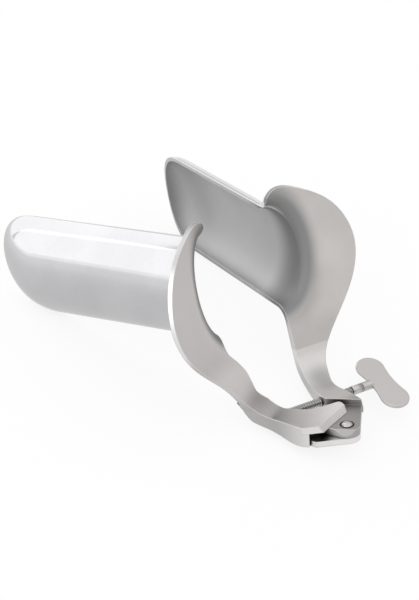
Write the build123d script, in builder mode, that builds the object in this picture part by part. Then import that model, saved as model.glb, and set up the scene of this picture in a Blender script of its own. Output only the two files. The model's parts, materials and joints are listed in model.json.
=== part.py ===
from build123d import *
import os
from math import cos, hypot, radians, sin, sqrt, tan

# Side-screw vaginal speculum in stainless steel, lying open on its arms and blade tips.
# All sizes are in millimetres and degrees. Each valve is drawn closed, in its own blade frame:
# the blade's axis runs along +Y from its mouth at y = 0, +X points away from the other valve,
# and x = 0 is the blade's open side.

# Blade
blade_length = 82.2
blade_half_width = 20.0
blade_depth = 12.5
blade_wall = 1.7
nose_length = 18.7
nose_fullness = 0.7
nose_slant = 0.25
nose_wall = 0.7
closed_gap = 3.0

# Flare around the mouth
flare_wall = 1.8
bend_radius = 6.5
flare_rise = 7.8
flare_reach = 36.2
notch_rise = 4.3

# Hinge axis: how far behind the mouth it stands, and how far below the blade's lower edge
hinge_back = 60.4
arm_drop = 29.3

# Arms, widths measured outward from the hinge axis
neck_outer = 12.1
arm_outer = 10.8
shoulder_outer = 12.3
shoulder_y = 13.0
left_arm_inset = 2.5
right_knee_outer = 12.9
right_knee_y = 9.0
left_knee_outer = 11.0
left_knee_y = 8.0

# Hinge joint, heights measured from the top of the tongue
leaf_thickness = 2.6
tongue_thickness = 3.1
lower_leaf_thickness = 2.4
joint_clearance = 0.05
knuckle_radius = 5.0
step_angle = 38.0
step_distance = 14.5
slot_distance = 15.3
leaf_gap = 1.8
leaf_end = 6.1
leaf_end_slant = 9.0
leaf_end_bevel = 1.7
leaf_corner_round = 1.5
leaf_reach = 4.4
leaf_side_direction = -33.4
leaf_side_distance = 3.3
leaf_side_bevel = 0.6
right_heel_width = 9.0
left_heel_width = 8.0
heel_y = 5.0
tongue_bevel_direction = 231.5
tongue_bevel_distance = 3.6
tongue_bevel_run = 2.0

# Rivet
rivet_shank_radius = 1.3
rivet_head_radius = 2.1
rivet_head_height = 1.1
rivet_running_clearance = 0.05
rivet_seat_clearance = 0.02

# Spreading screw, along X through the right arm
screw_radius = 1.7
screw_y = 20.3
screw_z = -0.25
screw_running_clearance = 0.05
tip_gap = 0.43
contact_edge = 0.77
thread_length = 29.65
shank_radius = 1.85
shank_length = 5.0
pin_radius = 0.9
pin_length = 2.6
pin_clearance = 0.05

# Wing key
collar_length = 4.2
plate_thickness = 1.3
lobe_radius = 5.9
lobe_spacing = 17.1
plate_offset = -1.05
plate_centre = 8.9
waist_half = 4.9
wing_turn = 18.0

# Pose: each valve's opening, and how the whole part lies on the floor
half_opening = 17.1
nose_down = 19.3

# Worked out from the sizes above
half_gap = closed_gap / 2
flare_top = blade_half_width + flare_rise
notch_height = blade_half_width + notch_rise
hinge_drop = blade_half_width + arm_drop
opening = radians(2 * half_opening)
tip_reach = screw_radius + tip_gap - contact_edge
screw_tip = tip_reach / cos(opening) - screw_radius - screw_y * tan(opening)
thread_end = screw_tip + thread_length
long = 200.0


def hinge_level(height):
    # A level plane with its origin on the hinge axis, at a height above the top of the tongue.
    return Plane(origin=(-half_gap, -hinge_back, -hinge_drop + height))


def face_lines():
    # Side view of flare and arm, lobe to joint: the back face, and the front face a thickness ahead.
    joint = leaf_thickness + tongue_thickness
    top = leaf_thickness - hinge_drop
    spare = bend_radius - flare_rise + 3.0
    stations = [
        (-6.9 + 0.18 * spare, flare_top + spare, flare_wall),
        (-11.4, 0.25 * blade_half_width, flare_wall),
        (-17.0, 0.7 - blade_half_width, flare_wall * 1.1),
        (-22.2, top + 13.9, flare_wall * 1.5),
        (-27.0, top + 5.0, flare_wall * 1.9),
        (-33.4, top + 0.8, joint * 0.72),
        (-41.0, top, joint),
    ]
    back = [(y, z) for y, z, _ in stations]
    front = []
    for i, (y, z, thickness) in enumerate(stations[:-1]):
        y0, z0, _ = stations[max(i - 1, 0)]
        y1, z1, _ = stations[i + 1]
        run = hypot(y1 - y0, z1 - z0)
        front.append((y - (z1 - z0) / run * thickness, z + (y1 - y0) / run * thickness))
    front.append((stations[-1][0], top - joint))
    return back, front


def blade_solid(shrink, tip_shrink):
    # Half of a round-nosed cylinder, flattened to the blade's depth, its nose slanting forward.
    radius = blade_half_width - shrink
    depth = blade_depth - shrink
    tip = blade_length - tip_shrink
    start = blade_length - nose_length
    reach = nose_fullness * (tip - start)
    with BuildPart() as body:
        with BuildSketch(Plane.YZ):
            with BuildLine():
                Polyline((tip, 0), (-hinge_back / 2, 0), (-hinge_back / 2, radius), (start, radius))
                Bezier((start, radius), (start + reach, radius), (tip, nose_fullness * radius), (tip, 0))
            make_face()
        revolve(axis=Axis.Y)
        scale(by=(depth / radius, 1, 1))
        split(bisect_by=Plane.YZ, keep=Keep.TOP)
    slanted = Matrix([[1, 0, 0, 0], [0, 1, nose_slant, 0], [0, 0, 1, 0]])
    return body.part.transform_geometry(slanted)


def ahead_of_flare():
    # The space ahead of the middle of the flare's wall, where the blade begins.
    back, front = face_lines()
    middle = [((y0 + y1) / 2, (z0 + z1) / 2) for (y0, z0), (y1, z1) in zip(back, front)]
    far = blade_length + 20
    with BuildPart() as region:
        with BuildSketch(Plane.YZ):
            with BuildLine():
                Spline(middle, tangents=((-0.19, -1), (-1, 0)))
                Polyline(middle[-1], (far, middle[-1][1]), (far, middle[0][1]), middle[0])
            make_face()
        extrude(amount=60)
    return region.part


def bent_bar():
    # Flare and arm before trimming: one bar with the side view's two faces.
    back, front = face_lines()
    rear = -hinge_back + 2.0
    with BuildPart() as bar:
        with BuildSketch(Plane.YZ):
            with BuildLine():
                Spline(back, tangents=((-0.19, -1), (-1, 0)))
                Polyline(back[-1], (rear, back[-1][1]), (rear, front[-1][1]), front[-1])
                Spline(front[::-1], tangents=((1, 0), (0.19, 1)))
                Line(front[0], back[0])
            make_face()
        extrude(amount=60)
    return bar.part


def left_underside():
    # The left arm's extra depth below the slot, running out along the neck.
    low = -hinge_drop - tongue_thickness - lower_leaf_thickness
    rear = -hinge_back + 2.0
    with BuildPart() as bar:
        with BuildSketch(Plane.YZ):
            with BuildLine():
                Spline(
                    (rear + 11.0, low),
                    (rear + 18.0, low + 1.0),
                    (rear + 24.5, low + 3.5),
                    (rear + 32.5, low + 8.0),
                    (rear + 37.0, low + 14.0),
                    tangents=((1, 0), (0.5, 1)),
                )
                Polyline(
                    (rear + 37.0, low + 14.0),
                    (rear + 34.0, low + 12.5),
                    (rear + 24.5, low + 7.0),
                    (rear, low + 4.0),
                    (rear, low),
                    (rear + 11.0, low),
                )
            make_face()
        extrude(amount=60)
    return bar.part


def rim_prism():
    # Front view: the flare's rounded lobe, its outer rim, and the arm's outer side down to the floor.
    neck = neck_outer - half_gap
    rim = [
        (0, notch_height),
        (3.2, flare_top - 0.4),
        (6.2, flare_top),
        (14.0, flare_top - 2.1),
        (0.73 * flare_reach, 0.93 * blade_half_width),
        (0.955 * flare_reach, 0.35 * blade_half_width),
        (flare_reach, -0.025 * blade_half_width),
        (0.925 * flare_reach, -0.625 * blade_half_width),
        (0.65 * flare_reach, 23.8 - hinge_drop),
        (neck + 3.7, 13.3 - hinge_drop),
        (neck, 5.3 - hinge_drop),
    ]
    low = -hinge_drop - 20
    with BuildPart() as prism:
        with BuildSketch(Plane.XZ):
            with BuildLine():
                Spline(rim)
                Polyline(rim[-1], (neck + 4, low), (0, low), rim[0])
            make_face()
        extrude(amount=long, both=True)
    return prism.part


def toward(angle):
    # The level direction at an angle from +X.
    return cos(radians(angle)), sin(radians(angle))


def arm_prism(end_distance, knee):
    # Plan view: the arm's outer side, ending at the joint's slanted shoulder line.
    nx, ny = toward(90 - step_angle)
    shoulder = (shoulder_outer, shoulder_y)
    at_shoulder = nx * shoulder[0] + ny * shoulder[1]
    at_knee = nx * knee[0] + ny * knee[1]
    part_way = (at_shoulder - end_distance) / (at_shoulder - at_knee)
    end_x = shoulder[0] + part_way * (knee[0] - shoulder[0])
    end_y = shoulder[1] + part_way * (knee[1] - shoulder[1])
    neck_y = shoulder_y + 20.5
    with BuildPart() as prism:
        with BuildSketch(hinge_level(0)):
            with BuildLine():
                Line((end_x, end_y), shoulder)
                Spline(
                    shoulder,
                    (arm_outer, shoulder_y + 9.0),
                    (arm_outer + 0.1, shoulder_y + 14.0),
                    (neck_outer, shoulder_y + 18.0),
                    (neck_outer + 0.9, neck_y),
                    tangents=((0, 1), (0.6, 1)),
                )
                Polyline(
                    (neck_outer + 0.9, neck_y),
                    (60, neck_y + 1.0),
                    (60, long),
                    (0, long),
                    (0, end_distance / ny),
                    (end_x, end_y),
                )
            make_face()
        extrude(amount=long, both=True)
    return prism.part


def bevel_wedge(direction, distance, top, run, depth):
    # A cutter whose sloping face starts at a distance from the hinge axis, at height top, and
    # moves outward by run over the depth.
    cx, cy = toward(direction)
    edge = Plane(
        origin=(-half_gap + distance * cx, -hinge_back + distance * cy, -hinge_drop + top),
        x_dir=(cx, cy, 0),
        z_dir=(-cy, cx, 0),
    )
    with BuildPart() as wedge:
        with BuildSketch(edge):
            with BuildLine():
                Polyline((0, 0), (run, depth), (run + 12, depth), (run + 12, -1), (0, -1), (0, 0))
            make_face()
        extrude(amount=30, both=True)
    return wedge.part


def on_ring(edge, radius, depth):
    # True for the long curve where the blade's flattened cylinder meets a face of the flare.
    points = [edge.position_at(t) for t in (0.2, 0.5, 0.8)]
    ring = all(abs((p.X / depth) ** 2 + (p.Z / radius) ** 2 - 1) < 0.02 for p in points)
    return ring and edge.length > blade_half_width and edge.center().Y < 0


def trumpet_valve(left):
    # Blade, trumpet flare and arm in one piece, without the joint's leaves.
    mouth_radius = blade_half_width - blade_wall
    mouth_depth = blade_depth - blade_wall
    outside = blade_solid(0, 0)
    inside = blade_solid(blade_wall, nose_wall)
    front_space = ahead_of_flare()
    bar = bent_bar()
    rim = rim_prism()
    underside = left_underside()
    if left:
        plan = arm_prism(slot_distance, (left_knee_outer, left_knee_y))
    else:
        plan = arm_prism(step_distance, (right_knee_outer, right_knee_y))
    with BuildPart() as valve:
        add(outside)
        add(front_space, mode=Mode.INTERSECT)
        add(bar)
        add(inside, mode=Mode.SUBTRACT)
        root = valve.edges().filter_by(lambda e: on_ring(e, blade_half_width, blade_depth))
        fillet(root, radius=bend_radius)
        mouth = valve.edges().filter_by(lambda e: on_ring(e, mouth_radius, mouth_depth))
        fillet(mouth, radius=bend_radius + blade_wall)
        if left:
            add(underside)
        add(rim, mode=Mode.INTERSECT)
        add(plan, mode=Mode.INTERSECT)
    return valve.part


def tangent_point(point, side):
    # Where a line from a point outside touches the knuckle's circle.
    x, y = point
    distance = hypot(x, y)
    along = knuckle_radius**2 / distance**2
    across = knuckle_radius * sqrt(distance**2 - knuckle_radius**2) / distance**2
    return (along * x + side * across * y, along * y - side * across * x)


def knuckle_leaf(low, high, knee, heel_width, root_distance):
    # A flat leaf from the arm's shoulder line to a round end about the hinge axis.
    root_y = root_distance / cos(radians(step_angle))
    heel = (-heel_width, heel_y)
    with BuildPart() as leaf:
        with BuildSketch(hinge_level(low)):
            Circle(knuckle_radius)
            with BuildLine():
                Polyline(
                    tangent_point(heel, -1),
                    tangent_point(knee, 1),
                    knee,
                    (knee[0] - 0.5, knee[1] + 3.0),
                    (half_gap + 1.5, root_y + 1.0),
                    (half_gap, root_y - 1.5),
                    heel,
                    tangent_point(heel, -1),
                )
            make_face()
        extrude(amount=high - low)
    return leaf.part


def top_leaf():
    # The fork's upper leaf: it lies in the right valve's recess and ends in a bevelled cut.
    nx, ny = toward(90 + step_angle)
    ax, ay = toward(step_angle)
    far = step_distance - leaf_gap
    corner = (far * nx - leaf_reach * ax, far * ny - leaf_reach * ay)
    blend = (far * nx + leaf_reach * ax, far * ny + leaf_reach * ay)
    end_bevel = bevel_wedge(
        leaf_end_slant - 90,
        -leaf_end * cos(radians(leaf_end_slant)),
        leaf_thickness,
        leaf_end_bevel,
        leaf_thickness,
    )
    with BuildPart() as leaf:
        with BuildSketch(hinge_level(joint_clearance)):
            with BuildLine():
                Spline(
                    (half_gap, shoulder_y + 13.4),
                    (half_gap - 1.2, shoulder_y + 9.2),
                    (half_gap - 2.3, shoulder_y + 4.4),
                    blend,
                    tangents=((-0.2, -1), (-ax, -ay)),
                )
                Polyline(
                    blend,
                    corner,
                    (corner[0] - 6 * nx, corner[1] - 6 * ny),
                    (knuckle_radius, 0),
                    (shoulder_outer + 1.5, shoulder_y - 3.5),
                    (shoulder_outer, shoulder_y + 0.2),
                    (arm_outer - 1.0, shoulder_y + 13.4),
                    (half_gap, shoulder_y + 13.4),
                )
            make_face()
            fillet(vertices().sort_by(Axis.X)[0], leaf_corner_round)
        extrude(amount=leaf_thickness - joint_clearance)
        add(end_bevel, mode=Mode.SUBTRACT)
    return leaf.part


def hinge_cylinder(radius, low, high):
    # A plain round bar on the hinge axis.
    with BuildPart() as bar:
        with BuildSketch(hinge_level(low)):
            Circle(radius)
        extrude(amount=high - low)
    return bar.part


def screw_level(x):
    # A plane across the screw's axis, facing away from the other valve.
    origin = (x - half_gap, screw_y - hinge_back, screw_z - hinge_drop)
    return Plane(origin=origin, x_dir=(0, 1, 0), z_dir=(1, 0, 0))


def inner_sweep():
    # Cutter for the left valve's inner edge, which sweeps out from the blade's lower edge and back in.
    low = -blade_half_width
    behind = Plane(origin=(0, -32.0, 0), x_dir=(1, 0, 0), z_dir=(0, -1, 0))
    with BuildPart() as cutter:
        with BuildSketch(behind):
            with BuildLine():
                Spline(
                    (left_arm_inset + 19.0, low + 2.8),
                    (left_arm_inset + 17.0, low - 3.5),
                    (left_arm_inset + 12.0, low - 8.3),
                    (left_arm_inset + 8.4, low - 12.2),
                    (left_arm_inset + 6.4, low - 16.5),
                    (left_arm_inset + 4.8, low - 20.4),
                    (left_arm_inset + 0.7, low - 23.3),
                    (left_arm_inset - 5.5, low - 25.5),
                )
                Polyline(
                    (left_arm_inset - 5.5, low - 25.5),
                    (-12.0, low - 25.5),
                    (-12.0, low + 2.8),
                    (left_arm_inset + 19.0, low + 2.8),
                )
            make_face()
        extrude(amount=36.0, dir=(-0.62, 0.78, 0.05))
    return cutter.part


def make_left_valve():
    knee = (left_knee_outer, left_knee_y)
    low = -tongue_thickness - lower_leaf_thickness
    trumpet = trumpet_valve(True)
    upper = top_leaf()
    high = -tongue_thickness - joint_clearance
    lower = knuckle_leaf(low, high, knee, left_heel_width, slot_distance)
    side_bevel = bevel_wedge(
        leaf_side_direction, leaf_side_distance, leaf_thickness, leaf_side_bevel, leaf_thickness
    )
    bore = hinge_cylinder(rivet_shank_radius + rivet_seat_clearance, low - 1, 0)
    with BuildPart() as valve:
        add(trumpet)
        add(upper)
        add(side_bevel, mode=Mode.SUBTRACT)
        add(lower)
        add(bore, mode=Mode.SUBTRACT)
        add(inner_sweep(), mode=Mode.SUBTRACT)
    return valve.part


def make_right_valve():
    knee = (right_knee_outer, right_knee_y)
    trumpet = trumpet_valve(False)
    tongue = knuckle_leaf(-tongue_thickness, 0, knee, right_heel_width, step_distance + 1.0)
    bevel = bevel_wedge(
        tongue_bevel_direction, tongue_bevel_distance, 0, tongue_bevel_run, tongue_thickness
    )
    bore = hinge_cylinder(rivet_shank_radius + rivet_running_clearance, -tongue_thickness - 1, 1)
    with BuildPart() as valve:
        add(trumpet)
        add(tongue)
        add(bevel, mode=Mode.SUBTRACT)
        add(bore, mode=Mode.SUBTRACT)
        with BuildSketch(screw_level(0)):
            Circle(screw_radius + screw_running_clearance)
        extrude(amount=shoulder_outer + 5, mode=Mode.SUBTRACT)
    return valve.part


def make_hinge_rivet():
    # Straight shank with a domed head that holds the tongue.
    low = -tongue_thickness - lower_leaf_thickness
    seat = rivet_running_clearance
    dome_radius = (rivet_head_radius**2 + rivet_head_height**2) / (2 * rivet_head_height)
    seat_point = (-half_gap, -hinge_back, -hinge_drop)
    with BuildPart() as rivet:
        with BuildSketch(hinge_level(low)):
            Circle(rivet_shank_radius)
        extrude(amount=seat - low)
        with BuildSketch(Plane(seat_point, x_dir=(1, 0, 0), z_dir=(0, -1, 0))):
            with BuildLine():
                Line((0, seat), (rivet_head_radius, seat))
                RadiusArc((rivet_head_radius, seat), (0, seat + rivet_head_height), -dome_radius)
                Line((0, seat + rivet_head_height), (0, seat))
            make_face()
        revolve(axis=Axis((-half_gap, -hinge_back, 0), (0, 0, 1)))
    return rivet.part


def make_screw_spindle():
    # Round-tipped threaded rod, plain shank and the pin that enters the wing key's collar.
    with BuildPart() as spindle:
        with BuildSketch(screw_level(screw_tip + screw_radius)):
            Circle(screw_radius)
        extrude(amount=thread_end - screw_tip - screw_radius)
        with BuildSketch(screw_level(thread_end)):
            Circle(shank_radius)
        extrude(amount=shank_length)
        with BuildSketch(screw_level(thread_end + shank_length)):
            Circle(pin_radius)
        extrude(amount=pin_length)
        tip_centre = screw_level(screw_tip + screw_radius).origin
        with Locations(tip_centre):
            Sphere(screw_radius)
    return spindle.part


def make_wing_key():
    # Round collar and a flat bow-tie plate to turn between finger and thumb.
    collar_start = thread_end + shank_length + pin_clearance
    centre = collar_start + plate_centre
    wx, wy = toward(wing_turn)
    plate_plane = Plane(
        origin=(centre - half_gap, screw_y - hinge_back, screw_z - hinge_drop),
        x_dir=(1, 0, 0),
        z_dir=(0, -wy, wx),
    )
    half = lobe_spacing / 2
    top = plate_offset + half
    bottom = plate_offset - half
    waist_radius = (waist_half**2 + half**2 - lobe_radius**2) / (2 * (lobe_radius - waist_half))
    meet_x = lobe_radius * (waist_half + waist_radius) / (waist_radius + lobe_radius)
    meet_y = lobe_radius * half / (waist_radius + lobe_radius)
    with BuildPart() as wing:
        with BuildSketch(plate_plane):
            with BuildLine():
                ThreePointArc((meet_x, top - meet_y), (0, top + lobe_radius), (-meet_x, top - meet_y))
                ThreePointArc(
                    (-meet_x, top - meet_y), (-waist_half, plate_offset), (-meet_x, bottom + meet_y)
                )
                ThreePointArc(
                    (-meet_x, bottom + meet_y), (0, bottom - lobe_radius), (meet_x, bottom + meet_y)
                )
                ThreePointArc(
                    (meet_x, bottom + meet_y), (waist_half, plate_offset), (meet_x, top - meet_y)
                )
            make_face()
        extrude(amount=plate_thickness / 2, both=True)
        rim = wing.edges().filter_by(lambda e: e.length > lobe_radius)
        fillet(rim, radius=plate_thickness * 0.35)
        with BuildSketch(screw_level(collar_start)):
            Circle(shank_radius)
        extrude(amount=collar_length)
        with BuildSketch(screw_level(collar_start)):
            Circle(pin_radius + pin_clearance)
        extrude(amount=pin_length, mode=Mode.SUBTRACT)
    return wing.part


def posed(shape, left):
    # From the closed blade frame to the open pose, tipped so that the blades' noses point down.
    in_hinge = shape.moved(Location((half_gap, hinge_back, hinge_drop)))
    if left:
        in_hinge = in_hinge.mirror(Plane.YZ)
    opened = Location((0, 0, 0), (0, 0, half_opening if left else -half_opening))
    tipped = Location((0, 0, 0), (-nose_down, 0, 0))
    return in_hinge.moved(tipped * opened)


left_shape = posed(make_left_valve(), True)
right_shape = posed(make_right_valve(), False)
rivet_shape = posed(make_hinge_rivet(), True)
spindle_shape = posed(make_screw_spindle(), False)
wing_shape = posed(make_wing_key(), False)

# The origin is on the floor, under the middle of the whole part.
boxes = [shape.bounding_box() for shape in (left_shape, right_shape, wing_shape)]
middle_x = (min(box.min.X for box in boxes) + max(box.max.X for box in boxes)) / 2
middle_y = (min(box.min.Y for box in boxes) + max(box.max.Y for box in boxes)) / 2
floor_z = min(box.min.Z for box in boxes)
to_origin = Location((-middle_x, -middle_y, -floor_z))

os.makedirs("parts", exist_ok=True)

with BuildPart() as left_valve:
    add(left_shape.moved(to_origin))
left_valve.part.label = "left_valve"
export_step(left_valve.part, "parts/left_valve.step")

with BuildPart() as right_valve:
    add(right_shape.moved(to_origin))
right_valve.part.label = "right_valve"
export_step(right_valve.part, "parts/right_valve.step")

with BuildPart() as hinge_rivet:
    add(rivet_shape.moved(to_origin))
hinge_rivet.part.label = "hinge_rivet"
export_step(hinge_rivet.part, "parts/hinge_rivet.step")

with BuildPart() as screw_spindle:
    add(spindle_shape.moved(to_origin))
screw_spindle.part.label = "screw_spindle"
export_step(screw_spindle.part, "parts/screw_spindle.step")

with BuildPart() as wing_key:
    add(wing_shape.moved(to_origin))
wing_key.part.label = "wing_key"
export_step(wing_key.part, "parts/wing_key.step")

print("hinge axis passes through", -middle_x, -middle_y, -floor_z)
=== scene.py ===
# %% [markdown]
# This lesson dresses a stainless steel speculum: two trough blades with flared mouths, a slotted
# fork hinge and a wing screw. The frame brings the true solids, in metres, lying open on the floor.
# Steel has hardly a colour of its own, so most of the lesson is about light and finish.

# %% Load the frame
import bmesh
import bpy
import json
from math import cos, pi, radians, sin, tau
from mathutils import Matrix, Vector


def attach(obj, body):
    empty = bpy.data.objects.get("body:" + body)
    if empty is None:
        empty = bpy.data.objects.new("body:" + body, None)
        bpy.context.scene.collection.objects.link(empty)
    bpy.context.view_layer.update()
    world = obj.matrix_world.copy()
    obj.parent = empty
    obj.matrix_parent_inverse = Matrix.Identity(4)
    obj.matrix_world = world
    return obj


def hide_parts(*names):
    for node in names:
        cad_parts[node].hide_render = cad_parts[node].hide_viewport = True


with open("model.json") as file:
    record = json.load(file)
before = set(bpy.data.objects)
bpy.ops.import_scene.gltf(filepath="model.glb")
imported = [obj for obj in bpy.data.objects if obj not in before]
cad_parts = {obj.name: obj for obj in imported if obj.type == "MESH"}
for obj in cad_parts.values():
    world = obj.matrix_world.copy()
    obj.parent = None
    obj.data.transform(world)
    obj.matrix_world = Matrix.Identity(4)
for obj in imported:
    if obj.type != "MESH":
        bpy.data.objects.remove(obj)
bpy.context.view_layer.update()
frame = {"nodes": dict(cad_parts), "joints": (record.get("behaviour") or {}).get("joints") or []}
nodes = frame["nodes"]
joints = {joint["name"]: joint for joint in frame["joints"]}
print("solids:", sorted(nodes))

# %% [markdown]
# Every place below follows from the hinge. Its axis leans with the whole part, because the blades'
# noses touch the floor. Each valve is turned outward from the middle by half of the opening, and
# has a frame of its own, the blade frame, whose origin is in the middle of the blade's mouth. Such
# frames let both valves share one recipe, mirrored.

# %% Frames of the hinge and of the blades
MM = 0.001
HALF_OPENING = radians(17.1)
HALF_GAP = 1.5 * MM
HINGE_BACK = 60.4 * MM
HINGE_DROP = 49.3 * MM
BLADE_DEPTH = 12.5 * MM
BLADE_HALF_WIDTH = 20.0 * MM
NOSE_START = 63.5 * MM
NOSE_LENGTH = 18.7 * MM
NOSE_SLANT = 0.25
NOSE_POWER = 2.55

hinge_point = Vector(joints["spread"]["pos_m"])
hinge_up = -Vector(joints["spread"]["axis"]).normalized()
hinge_side = Vector((1, 0, 0))
hinge_ahead = hinge_up.cross(hinge_side)
level = Matrix((hinge_side, hinge_ahead, hinge_up)).transposed()


def blade_frame(side):
    """Origin and the outward, ahead and up directions of one blade: side is -1 left, +1 right."""
    turn = level @ Matrix.Rotation(-side * HALF_OPENING, 3, "Z")
    outward = turn @ Vector((side, 0, 0))
    ahead = turn @ Vector((0, 1, 0))
    up = turn @ Vector((0, 0, 1))
    origin = hinge_point + outward * HALF_GAP + ahead * HINGE_BACK + up * HINGE_DROP
    return origin, outward, ahead, up


left_blade = blade_frame(-1)
right_blade = blade_frame(1)
print("mouth centres", [round(v, 4) for v in left_blade[0]], [round(v, 4) for v in right_blade[0]])

# %% [markdown]
# The camera stands where the photograph's stood. It could be placed by eye, but a computed place lets
# the render overlay the photograph: the rivet's centre lies at a known pixel, and the view's turn,
# tilt and roll come from the outline of both blades.

# %% Camera
IMAGE_W, IMAGE_H = 419, 600
FOCAL_PX = 1290.0
HINGE_PX = (347.0, 424.5)
MM_PER_PX_AT_HINGE = 0.3739
VIEW_TURN, VIEW_TILT, VIEW_ROLL = radians(-43.67), radians(25.24), radians(4.58)
SENSOR_HEIGHT = 36.0
NEAREST, FARTHEST = 0.02, 20


def camera_axes():
    """Right, down and forward directions of the view."""
    right = Vector((cos(VIEW_TURN), sin(VIEW_TURN), 0))
    forward = Vector((-sin(VIEW_TURN) * cos(VIEW_TILT), cos(VIEW_TURN) * cos(VIEW_TILT), -sin(VIEW_TILT)))
    down = forward.cross(right)
    rolled_right = right * cos(VIEW_ROLL) + down * sin(VIEW_ROLL)
    rolled_down = -right * sin(VIEW_ROLL) + down * cos(VIEW_ROLL)
    return level @ rolled_right, level @ rolled_down, level @ forward


def place_camera():
    right, down, forward = camera_axes()
    scale = MM_PER_PX_AT_HINGE * MM
    offset = right * (HINGE_PX[0] - IMAGE_W / 2) * scale
    offset += down * (HINGE_PX[1] - IMAGE_H / 2) * scale
    offset += forward * FOCAL_PX * scale
    data = bpy.data.cameras.new("photo_camera")
    data.sensor_fit = "VERTICAL"
    data.sensor_height = SENSOR_HEIGHT
    data.lens = FOCAL_PX * SENSOR_HEIGHT / IMAGE_H
    data.clip_start, data.clip_end = NEAREST, FARTHEST
    camera = bpy.data.objects.new("photo_camera", data)
    bpy.context.scene.collection.objects.link(camera)
    turn = Matrix((right, -down, -forward)).transposed().to_4x4()
    camera.matrix_world = Matrix.Translation(hinge_point - offset) @ turn
    bpy.context.scene.camera = camera
    return camera


camera = place_camera()
print("camera at", [round(v, 4) for v in camera.matrix_world.translation])

# %% [markdown]
# A material here is a short list of nodes. They could be joined by hand in the shader editor, but a
# script keeps them in one place. This helper adds a node, sets its values by name and joins sockets,
# so that each material further down reads as a recipe.

# %% Helper for node trees


class Recipe:
    """Adds nodes to a tree. A value that is a socket is linked, anything else is set."""

    def __init__(self, tree):
        self.tree = tree

    def node(self, kind, settings=None, **inputs):
        made = self.tree.nodes.new("ShaderNode" + kind)
        for name, value in (settings or {}).items():
            setattr(made, name, value)
        return self.fill(made, inputs)

    def fill(self, made, inputs):
        """Gives a node its inputs by name, where _ stands for a space."""
        for name, value in inputs.items():
            self.plug(made.inputs[name.replace("_", " ")], value)
        return made

    def plug(self, socket, value):
        if isinstance(value, bpy.types.NodeSocket):
            self.tree.links.new(value, socket)
        else:
            socket.default_value = value

    def math(self, operation, a, b=0.0):
        made = self.node("Math", {"operation": operation})
        self.plug(made.inputs[0], a)
        self.plug(made.inputs[1], b)
        return made.outputs[0]

    def product(self, first, *others):
        for other in others:
            first = self.math("MULTIPLY", first, other)
        return first

    def scaled(self, vector, factor):
        made = self.node("VectorMath", {"operation": "SCALE"}, Scale=factor)
        self.plug(made.inputs[0], vector)
        return made.outputs[0]

    def vector(self, operation, a, b=(0, 0, 0), out=0):
        made = self.node("VectorMath", {"operation": operation})
        self.plug(made.inputs[0], a)
        self.plug(made.inputs[1], b)
        return made.outputs[out]

    def step(self, value, low, high, to_low=0.0, to_high=1.0):
        """A smooth change from to_low to to_high while value goes from low to high."""
        made = self.node("MapRange", {"interpolation_type": "SMOOTHSTEP"})
        names = ("Value", "From Min", "From Max", "To Min", "To Max")
        for name, item in zip(names, (value, low, high, to_low, to_high)):
            self.plug(made.inputs[name], item)
        return made.outputs[0]

    def blend(self, kind, factor, a, b):
        """Goes from a to b. The Mix node has three sets of sockets, one for each kind of value."""
        first, result = {"FLOAT": (2, 0), "VECTOR": (4, 1), "RGBA": (6, 2)}[kind]
        made = self.node("Mix", {"data_type": kind})
        self.plug(made.inputs[0], factor)
        self.plug(made.inputs[first], a)
        self.plug(made.inputs[first + 1], b)
        return made.outputs[result]

    def blend_values(self, factor, a, b):
        return self.blend("FLOAT", factor, a, b)

    def blend_colours(self, factor, a, b):
        return self.blend("RGBA", factor, a, b)

    def group(self, tree, **inputs):
        """Places a node group with its own values."""
        made = self.tree.nodes.new("ShaderNodeGroup")
        made.node_tree = tree
        return self.fill(made, inputs)


def new_group(name, inputs, outputs):
    """A node group with named sockets, its recipe, and its inner sockets."""
    tree = bpy.data.node_groups.new(name, "ShaderNodeTree")
    for socket, kind, value in inputs:
        made = tree.interface.new_socket(socket, in_out="INPUT", socket_type="NodeSocket" + kind)
        made.default_value = value
    for socket, kind in outputs:
        tree.interface.new_socket(socket, in_out="OUTPUT", socket_type="NodeSocket" + kind)
    inner = tree.nodes.new("NodeGroupInput").outputs
    return tree, Recipe(tree), inner, tree.nodes.new("NodeGroupOutput").inputs


def describe(tree):
    """Prints a group's name, its size and what it puts out."""
    outputs = [item.name for item in tree.interface.items_tree if item.in_out == "OUTPUT"]
    print("group", tree.name, "of", len(tree.nodes), "nodes puts out", ", ".join(outputs))


def new_material(name):
    material = bpy.data.materials.new(name)
    material.use_nodes = True
    material.node_tree.nodes.clear()
    recipe = Recipe(material.node_tree)
    return material, recipe, recipe.node("OutputMaterial")


print("steps of a recipe:", [name for name in vars(Recipe) if not name.startswith("_")])

# %% [markdown]
# The photograph has a plain white ground. A painted floor would turn grey where less light reaches
# it, so this one glows white to the camera. The steel mirrors it too, a little greyer close under the
# object, where a real floor lies in its shade, and brighter far out. A small share of it is plain and
# diffuse, so that the object's soft shadow stays on the floor.

# %% Floor and world
FLOOR_REACH = 3.0
FLOOR_DROP = 0.2 * MM
WHITE = (1, 1, 1, 1)
WORLD_GREY = (0.9, 0.9, 0.9, 1)
SHADE_NEAR, SHADE_FAR = 0.05, 0.24
SHADE_LEVEL = 0.79
OPEN_NEAR, OPEN_FAR = 0.24, 0.90
OPEN_LEVEL = 1.32
SHADOW_SHARE = 0.15

bpy.context.scene.view_settings.view_transform = "Standard"


def stage_piece(name, points, faces, material):
    """A mesh of the studio, which isn't a part of the object."""
    mesh = bpy.data.meshes.new(name)
    mesh.from_pydata(points, [], faces)
    mesh.materials.append(material)
    piece = bpy.data.objects.new(name, mesh)
    bpy.context.scene.collection.objects.link(piece)
    return piece


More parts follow.
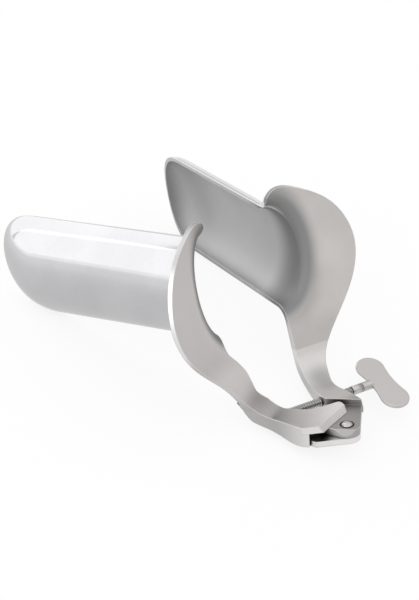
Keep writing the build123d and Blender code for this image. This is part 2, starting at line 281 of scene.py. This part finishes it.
def floor_material():
    material, recipe, output = new_material("white_floor")
    path = recipe.node("LightPath").outputs
    place = recipe.node("NewGeometry").outputs["Position"]
    away = recipe.vector("LENGTH", place, out=1)
    shade = recipe.step(away, SHADE_NEAR, SHADE_FAR, SHADE_LEVEL, 1.0)
    shade = recipe.product(shade, recipe.step(away, OPEN_NEAR, OPEN_FAR, 1.0, OPEN_LEVEL))
    level_seen = recipe.blend_values(path["Is Camera Ray"], shade, 1.0)
    white = recipe.node("Emission", Color=WHITE, Strength=level_seen)
    body = recipe.node("BsdfDiffuse", Color=WHITE)
    mirrored = recipe.math("MAXIMUM", path["Is Glossy Ray"], path["Is Transmission Ray"])
    share = recipe.product(path["Is Camera Ray"], 1.0 - SHADOW_SHARE)
    mix = recipe.node("MixShader", Fac=recipe.math("MAXIMUM", mirrored, share))
    recipe.plug(mix.inputs[1], body.outputs[0])
    recipe.plug(mix.inputs[2], white.outputs[0])
    recipe.plug(output.inputs["Surface"], mix.outputs[0])
    return material


def white_floor():
    signs = ((-1, -1), (1, -1), (1, 1), (-1, 1))
    corners = [(FLOOR_REACH * x, FLOOR_REACH * y, -FLOOR_DROP) for x, y in signs]
    stage_piece("floor", corners, [(0, 1, 2, 3)], floor_material())


def studio_world():
    world = bpy.data.worlds.new("studio")
    bpy.context.scene.world = world
    world.use_nodes = True
    world.node_tree.nodes.clear()
    recipe = Recipe(world.node_tree)
    path = recipe.node("LightPath").outputs
    seen = recipe.math("MAXIMUM", path["Is Camera Ray"], path["Is Glossy Ray"])
    seen = recipe.math("MAXIMUM", seen, path["Is Transmission Ray"])
    colour = recipe.blend_colours(seen, WORLD_GREY, WHITE)
    light = recipe.node("Background", Color=colour, Strength=1.0)
    recipe.plug(recipe.node("OutputWorld").inputs["Surface"], light.outputs[0])


white_floor()
studio_world()
print("floor:", 2 * FLOOR_REACH, "m wide, mirrored at", SHADE_LEVEL, "near and", OPEN_LEVEL, "far out")

# %% [markdown]
# Steel shows its surroundings, so the studio matters more than the metal. A picture of a studio could
# surround it, but lamps and cards can stand where the steel needs them. Bright softboxes stand to
# the left and ahead, just above the floor: their lower edge is the crisp line along the left blade.
# A wall of grey cards stands to the right and reaches behind the camera. The flares and arms mirror it.

# %% Softboxes and cards
SOFTBOX_LEVEL = 0.50
SOFTBOX_SIZE = (1.5, 1.0)
SOFTBOX_DISTANCE = 1.2
SOFTBOX_ELEVATION = 24
CARD_LIGHT = (0.88, 0.86, 0.85, 1)
CARD_DARK = (0.50, 0.485, 0.475, 1)
CARD_RADIUS = 0.8
CARD_HEIGHT = 1.0
DARK_BAND = 0.36
DARK_BAND_HALF = 0.30


def toward(azimuth, elevation, distance):
    """A point seen from the middle at an azimuth from +Y towards +X and an elevation, in degrees."""
    turn, rise = radians(azimuth), radians(elevation)
    return Vector((sin(turn) * cos(rise), cos(turn) * cos(rise), sin(rise))) * distance


def softbox(name, azimuth):
    """A lamp with an even face. Its power is its brightness times pi times its area."""
    width, height = SOFTBOX_SIZE
    data = bpy.data.lights.new(name, "AREA")
    data.shape = "RECTANGLE"
    data.size, data.size_y = width, height
    data.energy = SOFTBOX_LEVEL * pi * width * height
    lamp = bpy.data.objects.new(name, data)
    lamp.location = toward(azimuth, SOFTBOX_ELEVATION, SOFTBOX_DISTANCE)
    lamp.rotation_euler = (-lamp.location).to_track_quat("-Z", "Y").to_euler()
    lamp.visible_camera = False
    bpy.context.scene.collection.objects.link(lamp)
    print(name, "gives", round(data.energy, 2), "W")


softbox("softbox_left", azimuth=-75)
softbox("softbox_ahead", azimuth=-5)


def card_material(name):
    material, recipe, output = new_material(name)
    place = recipe.node("NewGeometry").outputs["Position"]
    height_here = recipe.node("SeparateXYZ", Vector=place).outputs["Z"]
    from_band = recipe.math("ABSOLUTE", recipe.math("SUBTRACT", height_here, DARK_BAND))
    colour = recipe.blend_colours(recipe.step(from_band, 0.0, DARK_BAND_HALF), CARD_DARK, CARD_LIGHT)
    glow = recipe.node("Emission", Color=colour, Strength=1.0)
    recipe.plug(output.inputs["Surface"], glow.outputs[0])
    return material


def card_wall(name, start, end, count=12):
    """A curved card on the floor with a darker band across it, seen only in reflections."""
    turns = [start + (end - start) * i / count for i in range(count + 1)]
    feet = [toward(turn, 0, CARD_RADIUS) for turn in turns]
    points = [foot + Vector((0, 0, z)) for foot in feet for z in (0, CARD_HEIGHT)]
    faces = [(2 * i, 2 * i + 1, 2 * i + 3, 2 * i + 2) for i in range(count)]
    card = stage_piece(name, points, faces, card_material(name))
    card.visible_camera = False
    card.visible_diffuse = False
    card.visible_shadow = False
    print(name, "from", start, "to", end, "degrees,", CARD_HEIGHT, "m high")


card_wall("grey_cards", start=40, end=215)

# %% [markdown]
# Blade coordinates let a material know where it is: how far out, ahead and up from the mouth's
# middle, in millimetres. A painted texture could say as much, but it needs an unwrapped mesh. Ring is
# 1 on the blade's outer surface and less inside it. Across the trough that is an ellipse, and towards
# the nose the ellipse shrinks along a fuller curve.

# %% Group: blade coordinates


def blade_coordinates():
    axes = [("Origin", "Vector", (0, 0, 0)), ("Outward", "Vector", (1, 0, 0))]
    axes += [("Ahead", "Vector", (0, 1, 0)), ("Up", "Vector", (0, 0, 1))]
    names = ("X", "Y", "Z", "Ellipse", "Nose", "Ring")
    tree, recipe, inside, out = new_group("blade_coordinates", axes, [(name, "Float") for name in names])
    place = recipe.node("TexCoord").outputs["Object"]
    offset = recipe.scaled(recipe.vector("SUBTRACT", place, inside["Origin"]), 1 / MM)
    x = recipe.vector("DOT_PRODUCT", offset, inside["Outward"], out=1)
    y = recipe.vector("DOT_PRODUCT", offset, inside["Ahead"], out=1)
    z = recipe.vector("DOT_PRODUCT", offset, inside["Up"], out=1)
    across = recipe.math("DIVIDE", x, BLADE_DEPTH / MM)
    along = recipe.math("DIVIDE", z, BLADE_HALF_WIDTH / MM)
    squares = recipe.math("ADD", recipe.product(across, across), recipe.product(along, along))
    ellipse = recipe.math("SQRT", squares)
    unslanted = recipe.math("SUBTRACT", y, recipe.product(z, NOSE_SLANT))
    past = recipe.math("SUBTRACT", unslanted, NOSE_START / MM)
    nose = recipe.math("MAXIMUM", recipe.math("DIVIDE", past, NOSE_LENGTH / MM), 0.0)
    powers = [recipe.math("POWER", value, NOSE_POWER) for value in (ellipse, nose)]
    ring = recipe.math("POWER", recipe.math("ADD", *powers), 1 / NOSE_POWER)
    for name, value in zip(names, (x, y, z, ellipse, nose, ring)):
        recipe.plug(out[name], value)
    return tree


blade_tree = blade_coordinates()
describe(blade_tree)

# %% [markdown]
# Polish shows every facet of a mesh. A finer mesh would help, but it would be heavy. The blade's outer
# surface is a known form, so its true normal follows from the slope of Ring in each direction, and
# the reflections run as smoothly as on steel.

# %% Group: true normal of the blade


def blade_normal():
    sockets = [("Outward", "Vector", (1, 0, 0)), ("Ahead", "Vector", (0, 1, 0))]
    sockets += [("Up", "Vector", (0, 0, 1))]
    sockets += [(name, "Float", 0.0) for name in ("X", "Z", "Ellipse", "Nose")]
    tree, recipe, inside, out = new_group("blade_normal", sockets, [("Normal", "Vector")])
    taper = recipe.math("POWER", inside["Ellipse"], NOSE_POWER - 2)
    slope_x = recipe.product(taper, recipe.math("DIVIDE", inside["X"], (BLADE_DEPTH / MM) ** 2))
    slope_z = recipe.product(taper, recipe.math("DIVIDE", inside["Z"], (BLADE_HALF_WIDTH / MM) ** 2))
    slope_y = recipe.math("DIVIDE", recipe.math("POWER", inside["Nose"], NOSE_POWER - 1), NOSE_LENGTH / MM)
    slope_z = recipe.math("SUBTRACT", slope_z, recipe.product(slope_y, NOSE_SLANT))
    slopes = (("Outward", slope_x), ("Ahead", slope_y), ("Up", slope_z))
    x_part, y_part, z_part = [recipe.scaled(inside[axis], slope) for axis, slope in slopes]
    total = recipe.vector("ADD", recipe.vector("ADD", x_part, y_part), z_part)
    to_world = {"vector_type": "NORMAL", "convert_from": "OBJECT", "convert_to": "WORLD"}
    turned = recipe.node("VectorTransform", to_world)
    recipe.plug(turned.inputs[0], total)
    recipe.plug(out["Normal"], recipe.vector("NORMALIZE", turned.outputs[0]))
    return tree


normal_tree = blade_normal()
describe(normal_tree)

# %% [markdown]
# Brushing leaves fine lines in one direction. They come from noise stretched along the stroke, as a
# height for the bump and as a small change of roughness. Buffing leaves slow, cloudy changes. Hollows
# and joints get painted shade, dark where less light reaches them. Pictures of steel could
# serve too, but noise has no seams, and every steel here can set its own fineness.

# %% Groups: brushing, buffing, edges and hollows
BRUSH_HEIGHT = 0.2 * MM
CLOUD_LIMITS = (0.3, 0.7)
EDGE_LIMITS = (0.999, 0.9)


def brushing():
    """Stroke is the fineness of the lines along x, y and z, Normal is the one that they lie on."""
    sockets = [("Stroke", "Vector", (300, 60, 300)), ("Depth", "Float", 0.02)]
    sockets += [("Normal", "Vector", (0, 0, 0))]
    tree, recipe, inside, out = new_group("brushing", sockets, [("Value", "Float"), ("Normal", "Vector")])
    place = recipe.node("TexCoord").outputs["Object"]
    stretched = recipe.vector("MULTIPLY", place, inside["Stroke"])
    noise = recipe.node("TexNoise", Vector=stretched, Scale=10.0, Detail=3.0, Roughness=0.65)
    fine = noise.outputs["Fac"]
    bump = recipe.node("Bump", Strength=inside["Depth"], Distance=BRUSH_HEIGHT)
    recipe.fill(bump, {"Height": fine, "Normal": inside["Normal"]})
    recipe.plug(out["Value"], fine)
    recipe.plug(out["Normal"], bump.outputs["Normal"])
    return tree


def buffing():
    """Clouds, which are smaller where Fineness is higher."""
    tree, recipe, inside, out = new_group("buffing", [("Fineness", "Float", 60.0)], [("Value", "Float")])
    place = recipe.node("TexCoord").outputs["Object"]
    noise = recipe.node("TexNoise", Vector=place, Scale=inside["Fineness"], Detail=4.0, Roughness=0.55)
    recipe.plug(out["Value"], recipe.step(noise.outputs["Fac"], *CLOUD_LIMITS))
    return tree


def rounded_edge():
    """Mask is 1 along the sharp edges, where the rounded normal leaves the flat one and a highlight is
    painted.
    """
    sockets, outputs = [("Radius", "Float", 0.4 * MM)], [("Mask", "Float"), ("Normal", "Vector")]
    tree, recipe, inside, out = new_group("rounded_edge", sockets, outputs)
    bevel = recipe.node("Bevel", {"samples": 8}, Radius=inside["Radius"])
    flat = recipe.node("NewGeometry").outputs["Normal"]
    agree = recipe.vector("DOT_PRODUCT", bevel.outputs["Normal"], flat, out=1)
    recipe.plug(out["Mask"], recipe.step(agree, *EDGE_LIMITS))
    recipe.plug(out["Normal"], bevel.outputs["Normal"])
    return tree


def openness():
    """1 where the surface lies open, 0 deep in a hollow of about the size of the reach."""
    tree, recipe, inside, out = new_group("openness", [("Reach", "Float", 4 * MM)], [("Open", "Float")])
    hollow = recipe.node("AmbientOcclusion", {"samples": 12}, Distance=inside["Reach"])
    recipe.plug(out["Open"], hollow.outputs["AO"])
    return tree


brushing_tree = brushing()
buffing_tree = buffing()
edge_tree = rounded_edge()
open_tree = openness()
for tree in (brushing_tree, buffing_tree, edge_tree, open_tree):
    describe(tree)

# %% [markdown]
# The valves are satin inside, on the flare and on the arm, and mirror polished on the outside of the
# trough, where the finish matters most to the patient. Each of these zones has a mask, which is 1 on
# it and 0 elsewhere, with a soft change between. Two more masks place painted light: painted shade on
# the fillet between trough and flare, and a painted highlight on the flare's outer rim. A material for
# each zone would end at a face's edge, and polish doesn't. Both valves use the masks, so they are one
# group. The limits are pairs: blade millimetres for Y and Z, and plain numbers for the others.

# %% Group: zones of a valve
OUTSIDE_EDGE, OUTSIDE_BLUR = 0.983, 0.006
POLISH_START = (-6.0, -2.0)
LINING_START = (-16.0, 0.0)
FILLET_LEAN, FILLET_LENGTH = 0.15, 10.0
FILLET_START, FILLET_END = (0.1, 1.8), (2.8, 2.3)
RIM_START, RIM_END = (-18.0, -16.0), (-2.0, -4.0)
RIM_FOOT = (-20.0, -10.0)
RIM_RING = (1.02, 1.08)
RIM_FACING = (0.55, 0.85)


def inverse(recipe, mask):
    return recipe.math("SUBTRACT", 1.0, mask)


def valve_zones():
    """Polished outside, lining of the trough, fillet between trough and flare for painted shade, and
    outer rim for a painted highlight.
    """
    sockets = [(name, "Float", 0.0) for name in ("Y", "Z", "Ellipse", "Ring")]
    sockets += [("Outward", "Vector", (1, 0, 0))]
    names = ("Polished", "Lining", "Fillet", "Rim")
    tree, recipe, inside, out = new_group("valve_zones", sockets, [(name, "Float") for name in names])
    y, z, ring = inside["Y"], inside["Z"], inside["Ring"]
    outside = recipe.step(ring, OUTSIDE_EDGE - OUTSIDE_BLUR, OUTSIDE_EDGE + OUTSIDE_BLUR)
    polished = recipe.product(outside, recipe.step(y, *POLISH_START))
    lining = recipe.product(inverse(recipe, outside), recipe.step(y, *LINING_START))
    leaning = recipe.math("SUBTRACT", y, recipe.product(z, FILLET_LEAN))
    bend = recipe.math("SUBTRACT", inside["Ellipse"], recipe.math("DIVIDE", leaning, FILLET_LENGTH))
    fillet = recipe.product(recipe.step(bend, *FILLET_START), recipe.step(bend, *FILLET_END))
    fillet = recipe.product(fillet, inverse(recipe, polished))
    normal = recipe.node("TexCoord").outputs["Normal"]
    facing = recipe.step(recipe.vector("DOT_PRODUCT", normal, inside["Outward"], out=1), *RIM_FACING)
    on_flare = recipe.product(recipe.step(y, *RIM_START), recipe.step(y, *RIM_END))
    # The rim mask places a painted highlight where the flare faces outward.
    rim_highlight = recipe.product(facing, on_flare, recipe.step(ring, *RIM_RING), recipe.step(z, *RIM_FOOT))
    for name, mask in zip(names, (polished, lining, fillet, rim_highlight)):
        recipe.plug(out[name], mask)
    return tree


zones_tree = valve_zones()
describe(zones_tree)

# %% [markdown]
# The satin skin isn't one grey. Its tone changes from the flare to the neck, to the part below the
# crease where the polishing wheel stopped, to the arm and to the leaf of the hinge. One gradient would
# need one direction, and these parts turn. So the group goes through them in turn, and each valve
# brings its own tones: partly its own finish, and partly painted light and shade, lighter or darker
# where the light falls on each part.

# %% Group: satin skin
SATIN = (0.61, 0.595, 0.59, 1)
NECK_CREASE = -34.4
FLARE_RING = (1.05, 1.75)
NECK_RANGE, ARM_RANGE = (-20.0, -30.0), (-37.0, -44.0)
LEAF_END = -52.0


def satin_tones_and_light():
    parts = ("Flare", "Neck", "Below", "Arm", "Leaf")
    sockets = [(name, "Float", 0.0) for name in ("Y", "Z", "Ring")]
    sockets += [(name, "Color", SATIN) for name in parts]
    sockets += [("Crease Blur", "Float", 1.0), ("Leaf Start", "Float", -40.0)]
    tree, recipe, inside, out = new_group("satin_tones_and_light", sockets, [("Color", "Color")])
    high = recipe.math("ADD", NECK_CREASE, inside["Crease Blur"])
    low = recipe.math("SUBTRACT", NECK_CREASE, inside["Crease Blur"])
    shares = [recipe.step(inside["Ring"], *FLARE_RING)]
    shares += [recipe.step(inside["Z"], *limits) for limits in (NECK_RANGE, (high, low), ARM_RANGE)]
    shares += [recipe.step(inside["Y"], inside["Leaf Start"], LEAF_END)]
    colour = SATIN
    for part, share in zip(parts, shares):
        colour = recipe.blend_colours(share, colour, inside[part])
    recipe.plug(out["Color"], colour)
    return tree


tones_and_light_tree = satin_tones_and_light()
describe(tones_and_light_tree)

# %% [markdown]
# Two places get painted shade of their own. The arm turns sharply below the neck, and its shade
# there is painted darker. The rivet's head stands in a fine groove, and its shade is painted as a dark
# ring. Both are a distance with a soft edge.

# %% Groups: painted shade at the bend and round the rivet
BEND_REACH = (1.0, 9.0)
RIVET_RADIUS = 2.3
GROOVE_EDGE = (0.25, 0.75)


def bend_shade():
    """Painted shade: Tone at the middle of the bend, and 1 away from it."""
    sockets = [(name, "Float", 0.0) for name in ("X", "Y", "Z")]
    sockets += [("Middle", "Vector", (0, 0, 0)), ("Tone", "Float", 1.0)]
    tree, recipe, inside, out = new_group("bend_shade", sockets, [("Tone", "Float")])
    place = recipe.node("CombineXYZ", X=inside["X"], Y=inside["Y"], Z=inside["Z"]).outputs[0]
    away = recipe.vector("DISTANCE", place, inside["Middle"], out=1)
    recipe.plug(out["Tone"], recipe.step(away, *BEND_REACH, inside["Tone"], 1.0))
    return tree


def rivet_groove_shade():
    """0 in the groove round the rivet's head, where its shade is painted as a dark ring, and 1 away from
    it.
    """
    sockets = [("X", "Float", 0.0), ("Y", "Float", 0.0)]
    tree, recipe, inside, out = new_group("rivet_groove_shade", sockets, [("Away", "Float")])
    aside = recipe.math("ADD", inside["X"], HALF_GAP / MM)
    behind = recipe.math("ADD", inside["Y"], HINGE_BACK / MM)
    squares = recipe.math("ADD", recipe.product(aside, aside), recipe.product(behind, behind))
    away = recipe.math("SUBTRACT", recipe.math("SQRT", squares), RIVET_RADIUS)
    recipe.plug(out["Away"], recipe.step(recipe.math("ABSOLUTE", away), *GROOVE_EDGE))
    return tree


bend_shade_tree = bend_shade()
groove_shade_tree = rivet_groove_shade()
describe(bend_shade_tree)
describe(groove_shade_tree)

# %% [markdown]
# The colour of a valve is laid on in layers, as a painter would: skin tones, partly painted light and
# shade, lining with painted shade deep in the trough, painted shade on the fillet, polish, painted
# shade at the bend, a painted highlight on the rim, clouds and streaks, painted highlights on the
# edges, and last painted shade in the grooves and joints. Each layer covers or tones the ones before,
# so a layer can change and leave the rest.

# %% Colour of the valves
SATIN_INSIDE = (0.60, 0.593, 0.60, 1)
# Painted shade for the lining deep in the trough.
SATIN_IN_SHADE = (0.34, 0.345, 0.345, 1)
FILLET_SHADE = (0.30, 0.305, 0.302, 1)
MIRROR = (0.62, 0.617, 0.63, 1)
EDGE_HIGHLIGHT = (0.74, 0.73, 0.725, 1)
RIM_HIGHLIGHT = (0.92, 0.91, 0.905, 1)
PAINTED_SHADE = (0.035, 0.033, 0.032, 1)
WARM_GREEN, WARM_BLUE = 0.977, 0.968
CLOUD_TONE = 0.035
STREAK_TONE = 0.06
TROUGH_REACH, TROUGH_OPEN = 30 * MM, (0.35, 0.95)
CREVICE_REACH, JOINT_REACH, CREVICE_OPEN = 4 * MM, 10 * MM, (0.15, 0.80)
JOINT_START = (-40.0, -50.0)


def warm(tone):
    """A slightly warm grey."""
    return (tone, tone * WARM_GREEN, tone * WARM_BLUE, 1)


def picked(outputs, *names):
    return {name: outputs[name] for name in names}


def tones_zones_and_painted_light(recipe, where, zones, look):
    """Tones and zones, with painted shade in the trough, on the fillet and at the bend, and a painted rim
    highlight.
    """
    tones = {part: warm(tone) for part, tone in look["tones"].items()}
    skin = recipe.group(tones_and_light_tree, **picked(where, "Y", "Z", "Ring"), **tones, **look["skin"])
    # Painted shade: the lining darkens deep in the trough, where less light reaches it.
    open_here = recipe.group(open_tree, Reach=TROUGH_REACH).outputs["Open"]
    lining = recipe.blend_colours(recipe.step(open_here, *TROUGH_OPEN), SATIN_IN_SHADE, SATIN_INSIDE)
    colour = recipe.blend_colours(zones["Lining"], skin.outputs["Color"], lining)
    # Painted shade: the fillet, a concave bend, is dark.
    colour = recipe.blend_colours(zones["Fillet"], colour, FILLET_SHADE)
    colour = recipe.blend_colours(zones["Polished"], colour, MIRROR)
    # Painted shade where the arm turns sharply below the neck.
    bend = recipe.group(bend_shade_tree, **picked(where, "X", "Y", "Z"), **look["bend"])
    colour = recipe.vector("MULTIPLY", colour, bend.outputs["Tone"])
    # Painted highlight along the flare's outer rim.
    return recipe.blend_colours(zones["Rim"], colour, RIM_HIGHLIGHT)


def mottle_highlights_and_shade(recipe, where, colour, edge, cloud, grain):
    """Random clouds and streaks, then painted highlights on the edges and painted shade in the rivet's
    groove and in crevices.
    """
    streak = recipe.blend_values(grain, -STREAK_TONE, STREAK_TONE)
    mottle = recipe.math("ADD", recipe.blend_values(cloud, 1.0 - CLOUD_TONE, 1.0 + CLOUD_TONE), streak)
    colour = recipe.vector("MULTIPLY", colour, mottle)
    # Painted highlight along the edges.
    colour = recipe.blend_colours(edge, colour, EDGE_HIGHLIGHT)
    # Painted shade: a dark ring in the groove round the rivet's head.
    groove_shade = recipe.group(groove_shade_tree, **picked(where, "X", "Y"))
    colour = recipe.blend_colours(groove_shade.outputs["Away"], PAINTED_SHADE, colour)
    # Painted shade in crevices and joints, reaching farther near the hinge.
    reach = recipe.blend_values(recipe.step(where["Y"], *JOINT_START), CREVICE_REACH, JOINT_REACH)
    crevice_shade = recipe.step(recipe.group(open_tree, Reach=reach).outputs["Open"], *CREVICE_OPEN)
    return recipe.blend_colours(crevice_shade, PAINTED_SHADE, colour)


print("tones of the polish:", MIRROR[:3], "and of the satin:", SATIN[:3])

# %% [markdown]
# Roughness grows from the mirror polish over the satin skin to the fillet and the lining. The normal
# is the true one on the polish and the brushed one elsewhere. The two valves share this recipe and
# differ in their look: the tones, partly painted light and shade, how soft the crease is, and where
# the painted shade of the arm's bend lies.

# %% Steel of the valves
SATIN_ROUGHNESS, MIRROR_ROUGHNESS = 0.24, 0.07
ADDED_ROUGHNESS = {"grain": 0.10, "cloud": 0.05, "Lining": 0.34, "Fillet": 0.25}
MIRROR_CLOUD = 0.03
VALVE_STROKE, GRAIN_DEPTH = (400, 70, 400), 0.07
CLOUD_FINENESS = 45.0
EDGE_RADIUS = 0.4 * MM
# The tones are partly each valve's finish and partly painted light and shade on its parts.
LEFT_LOOK = {
    "tones": {"Flare": 0.55, "Neck": 0.67, "Below": 0.66, "Arm": 0.53, "Leaf": 0.86},
    "skin": {"Crease_Blur": 3.0, "Leaf_Start": -34.0},
    "bend": {"Middle": (3.5, -26.5, -41.0), "Tone": 0.87},
}
RIGHT_LOOK = {
    "tones": {"Flare": 0.80, "Neck": 0.69, "Below": 0.84, "Arm": 0.64, "Leaf": 0.40},
    "skin": {"Crease_Blur": 0.3, "Leaf_Start": -44.0},
    "bend": {"Middle": (6.5, -31.0, -46.0), "Tone": 0.68},
}


def valve_roughness(recipe, zones, cloud, grain):
    causes = {"grain": grain, "cloud": cloud, **picked(zones, "Lining", "Fillet")}
    satin = SATIN_ROUGHNESS
    for name, cause in causes.items():
        satin = recipe.math("ADD", recipe.product(cause, ADDED_ROUGHNESS[name]), satin)
    mirror = recipe.math("ADD", recipe.product(cloud, MIRROR_CLOUD), MIRROR_ROUGHNESS)
    return recipe.blend_values(zones["Polished"], satin, mirror)


def valve_steel(name, blade, look):
    material, recipe, output = new_material(name)
    origin, outward, ahead, up = blade
    axes = {"Outward": outward, "Ahead": ahead, "Up": up}
    where = recipe.group(blade_tree, Origin=origin, **axes).outputs
    known = picked(where, "Y", "Z", "Ellipse", "Ring")
    zones = recipe.group(zones_tree, Outward=outward, **known).outputs
    edge = recipe.group(edge_tree, Radius=EDGE_RADIUS).outputs
    cloud = recipe.group(buffing_tree, Fineness=CLOUD_FINENESS).outputs["Value"]
    depth = recipe.blend_values(zones["Polished"], GRAIN_DEPTH, 0.0)
    stroke = {"Stroke": VALVE_STROKE, "Depth": depth, "Normal": edge["Normal"]}
    grain = recipe.group(brushing_tree, **stroke).outputs
    colour = tones_zones_and_painted_light(recipe, where, zones, look)
    colour = mottle_highlights_and_shade(recipe, where, colour, edge["Mask"], cloud, grain["Value"])
    known = picked(where, "X", "Z", "Ellipse", "Nose")
    true = recipe.group(normal_tree, **axes, **known).outputs["Normal"]
    on_polish = recipe.product(zones["Polished"], inverse(recipe, edge["Mask"]))
    steel = recipe.node("BsdfPrincipled", Base_Color=colour, Metallic=1.0)
    recipe.plug(steel.inputs["Roughness"], valve_roughness(recipe, zones, cloud, grain["Value"]))
    recipe.plug(steel.inputs["Normal"], recipe.blend("VECTOR", on_polish, grain["Normal"], true))
    recipe.plug(output.inputs["Surface"], steel.outputs[0])
    return material


left_steel = valve_steel("satin_steel_left", left_blade, LEFT_LOOK)
right_steel = valve_steel("satin_steel_right", right_blade, RIGHT_LOOK)
print("valve steels:", left_steel.name, right_steel.name)

# %% [markdown]
# The screw, the rivet and the wing key are small turned and stamped pieces, tumbled until they are
# evenly smooth, so one plainer recipe makes their steels. The thread's is darker, because little
# light comes back out of its grooves.

# %% Steel of the small pieces
THREAD_STEEL = (0.42, 0.41, 0.40, 1)
SMALL_EDGE_RADIUS = 0.2 * MM
SMALL_STROKE, SMALL_GRAIN_DEPTH = (300, 300, 300), 0.05
SMALL_CLOUD, SMALL_CLOUD_FINENESS = 0.08, 150.0
SMALL_CREVICE_OPEN = (0.2, 0.9)


def small_steel(name, base, roughness, reach):
    material, recipe, output = new_material(name)
    edge = recipe.group(edge_tree, Radius=SMALL_EDGE_RADIUS).outputs
    cloud = recipe.group(buffing_tree, Fineness=SMALL_CLOUD_FINENESS).outputs["Value"]
    stroke = {"Stroke": SMALL_STROKE, "Depth": SMALL_GRAIN_DEPTH, "Normal": edge["Normal"]}
    grain = recipe.group(brushing_tree, **stroke).outputs
    rough = recipe.math("ADD", recipe.product(cloud, SMALL_CLOUD), roughness)
    # Painted highlight along the edges and painted shade in crevices.
    crevice_shade = recipe.step(recipe.group(open_tree, Reach=reach).outputs["Open"], *SMALL_CREVICE_OPEN)
    colour = recipe.blend_colours(edge["Mask"], base, EDGE_HIGHLIGHT)
    colour = recipe.blend_colours(crevice_shade, PAINTED_SHADE, colour)
    steel = recipe.node("BsdfPrincipled", Base_Color=colour, Metallic=1.0)
    recipe.plug(steel.inputs["Roughness"], rough)
    recipe.plug(steel.inputs["Normal"], grain["Normal"])
    recipe.plug(output.inputs["Surface"], steel.outputs[0])
    return material


screw_steel = small_steel("polished_steel", THREAD_STEEL, roughness=0.24, reach=1 * MM)
rivet_steel = small_steel("rivet_steel", SATIN, roughness=0.30, reach=2 * MM)
wing_steel = small_steel("satin_steel", SATIN, roughness=0.30, reach=2 * MM)

finish_of = {
    "left_valve": left_steel,
    "right_valve": right_steel,
    "hinge_rivet": rivet_steel,
    "screw_spindle": screw_steel,
    "wing_key": wing_steel,
}
for name, material in finish_of.items():
    nodes[name].data.materials.clear()
    nodes[name].data.materials.append(material)
print("finishes:", {name: material.name for name, material in finish_of.items()})

# %% [markdown]
# The spreading screw has a fine right-hand thread. A screw modifier could wind it from a profile, but
# the domed tip and the plain shank would be meshes of their own. Here one tube makes all three: its
# radius goes up and down along a helix, and then stays plain.

# %% Threaded spindle
THREAD_RADIUS = 1.7 * MM
THREAD_DEPTH = 0.45 * MM
THREAD_PITCH = 1.1 * MM
CREST_SHARE, FLANK_SHARE = 0.25, 0.25
THREAD_LENGTH = 29.65 * MM
SHANK_RADIUS = 1.85 * MM
SHANK_LENGTH = 5.0 * MM
SHANK_STEP = 0.05 * MM
PIN_RADIUS = 0.9 * MM
PIN_LENGTH = 2.6 * MM
SCREW_TIP = -13.85 * MM
SCREW_AHEAD = 20.3 * MM
SCREW_UP = -0.25 * MM
AROUND = 28
PER_PITCH = 8
END_FACING = 0.9

right_turn = level @ Matrix.Rotation(-HALF_OPENING, 3, "Z")


def screw_point(along, radius, angle):
    """A point on or round the screw's axis: along counts outward from the hinge axis."""
    local = Vector((along, SCREW_AHEAD + radius * cos(angle), SCREW_UP + radius * sin(angle)))
    return hinge_point + right_turn @ local


def thread_radius(along, angle):
    """Radius of the threaded tube, with flat crests and roots and a rounded tip."""
    from_crest = abs((along / THREAD_PITCH - angle / tau) % 1.0 - 0.5)
    down_flank = (from_crest - CREST_SHARE / 2) / FLANK_SHARE
    radius = THREAD_RADIUS - THREAD_DEPTH * max(0.0, min(1.0, down_flank))
    from_tip = along - SCREW_TIP
    if from_tip < THREAD_RADIUS:
        dome = (THREAD_RADIUS**2 - (THREAD_RADIUS - from_tip) ** 2) ** 0.5
        radius = min(radius, dome)
    return radius


def ring_of(form, along, radius_at):
    points = []
    for i in range(AROUND):
        angle = tau * i / AROUND
        points.append(form.verts.new(screw_point(along, radius_at(along, angle), angle)))
    return points


def bridge(form, first, second):
    for i in range(AROUND):
        j = (i + 1) % AROUND
        form.faces.new((first[i], second[i], second[j], first[j]))


def spindle_rings(form):
    """Rings of points from the tip to the end of the pin, which sits in the wing key's collar."""
    steps = int(THREAD_LENGTH / THREAD_PITCH * PER_PITCH)
    end = SCREW_TIP + THREAD_LENGTH
    pin = end + SHANK_LENGTH
    places = [SCREW_TIP + THREAD_LENGTH * i / steps for i in range(1, steps + 1)]
    rings = [ring_of(form, along, thread_radius) for along in places]
    plain = [(end, THREAD_RADIUS), (end + SHANK_STEP, SHANK_RADIUS), (pin, SHANK_RADIUS)]
    plain += [(pin, PIN_RADIUS), (pin + PIN_LENGTH, PIN_RADIUS)]
    rings += [ring_of(form, along, lambda *_, radius=radius: radius) for along, radius in plain]
    return rings, end


def finish_spindle(mesh, shank_start):
    """Shades the tube smooth but its flat ends, and gives the plain shank its own steel."""
    axis = right_turn @ Vector((1, 0, 0))
    start = hinge_point + axis * shank_start
    mesh.materials.append(screw_steel)
    mesh.materials.append(rivet_steel)
    for face in mesh.polygons:
        face.use_smooth = abs(face.normal.dot(axis)) < END_FACING
        face.material_index = int((face.center - start).dot(axis) > 0)


def threaded_spindle():
    form = bmesh.new()
    tip = form.verts.new(screw_point(SCREW_TIP, 0, 0))
    rings, shank_start = spindle_rings(form)
    for i in range(AROUND):
        form.faces.new((tip, rings[0][i], rings[0][(i + 1) % AROUND]))
    for first, second in zip(rings, rings[1:]):
        bridge(form, first, second)
    form.faces.new(rings[-1][::-1])
    bmesh.ops.recalc_face_normals(form, faces=form.faces)
    mesh = bpy.data.meshes.new("threaded_spindle")
    form.to_mesh(mesh)
    form.free()
    finish_spindle(mesh, shank_start)
    piece = bpy.data.objects.new("threaded_spindle", mesh)
    bpy.context.scene.collection.objects.link(piece)
    return piece


spindle = threaded_spindle()
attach(spindle, "screw")
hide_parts("screw_spindle")
print("thread:", len(spindle.data.polygons), "faces")

# %% [markdown]
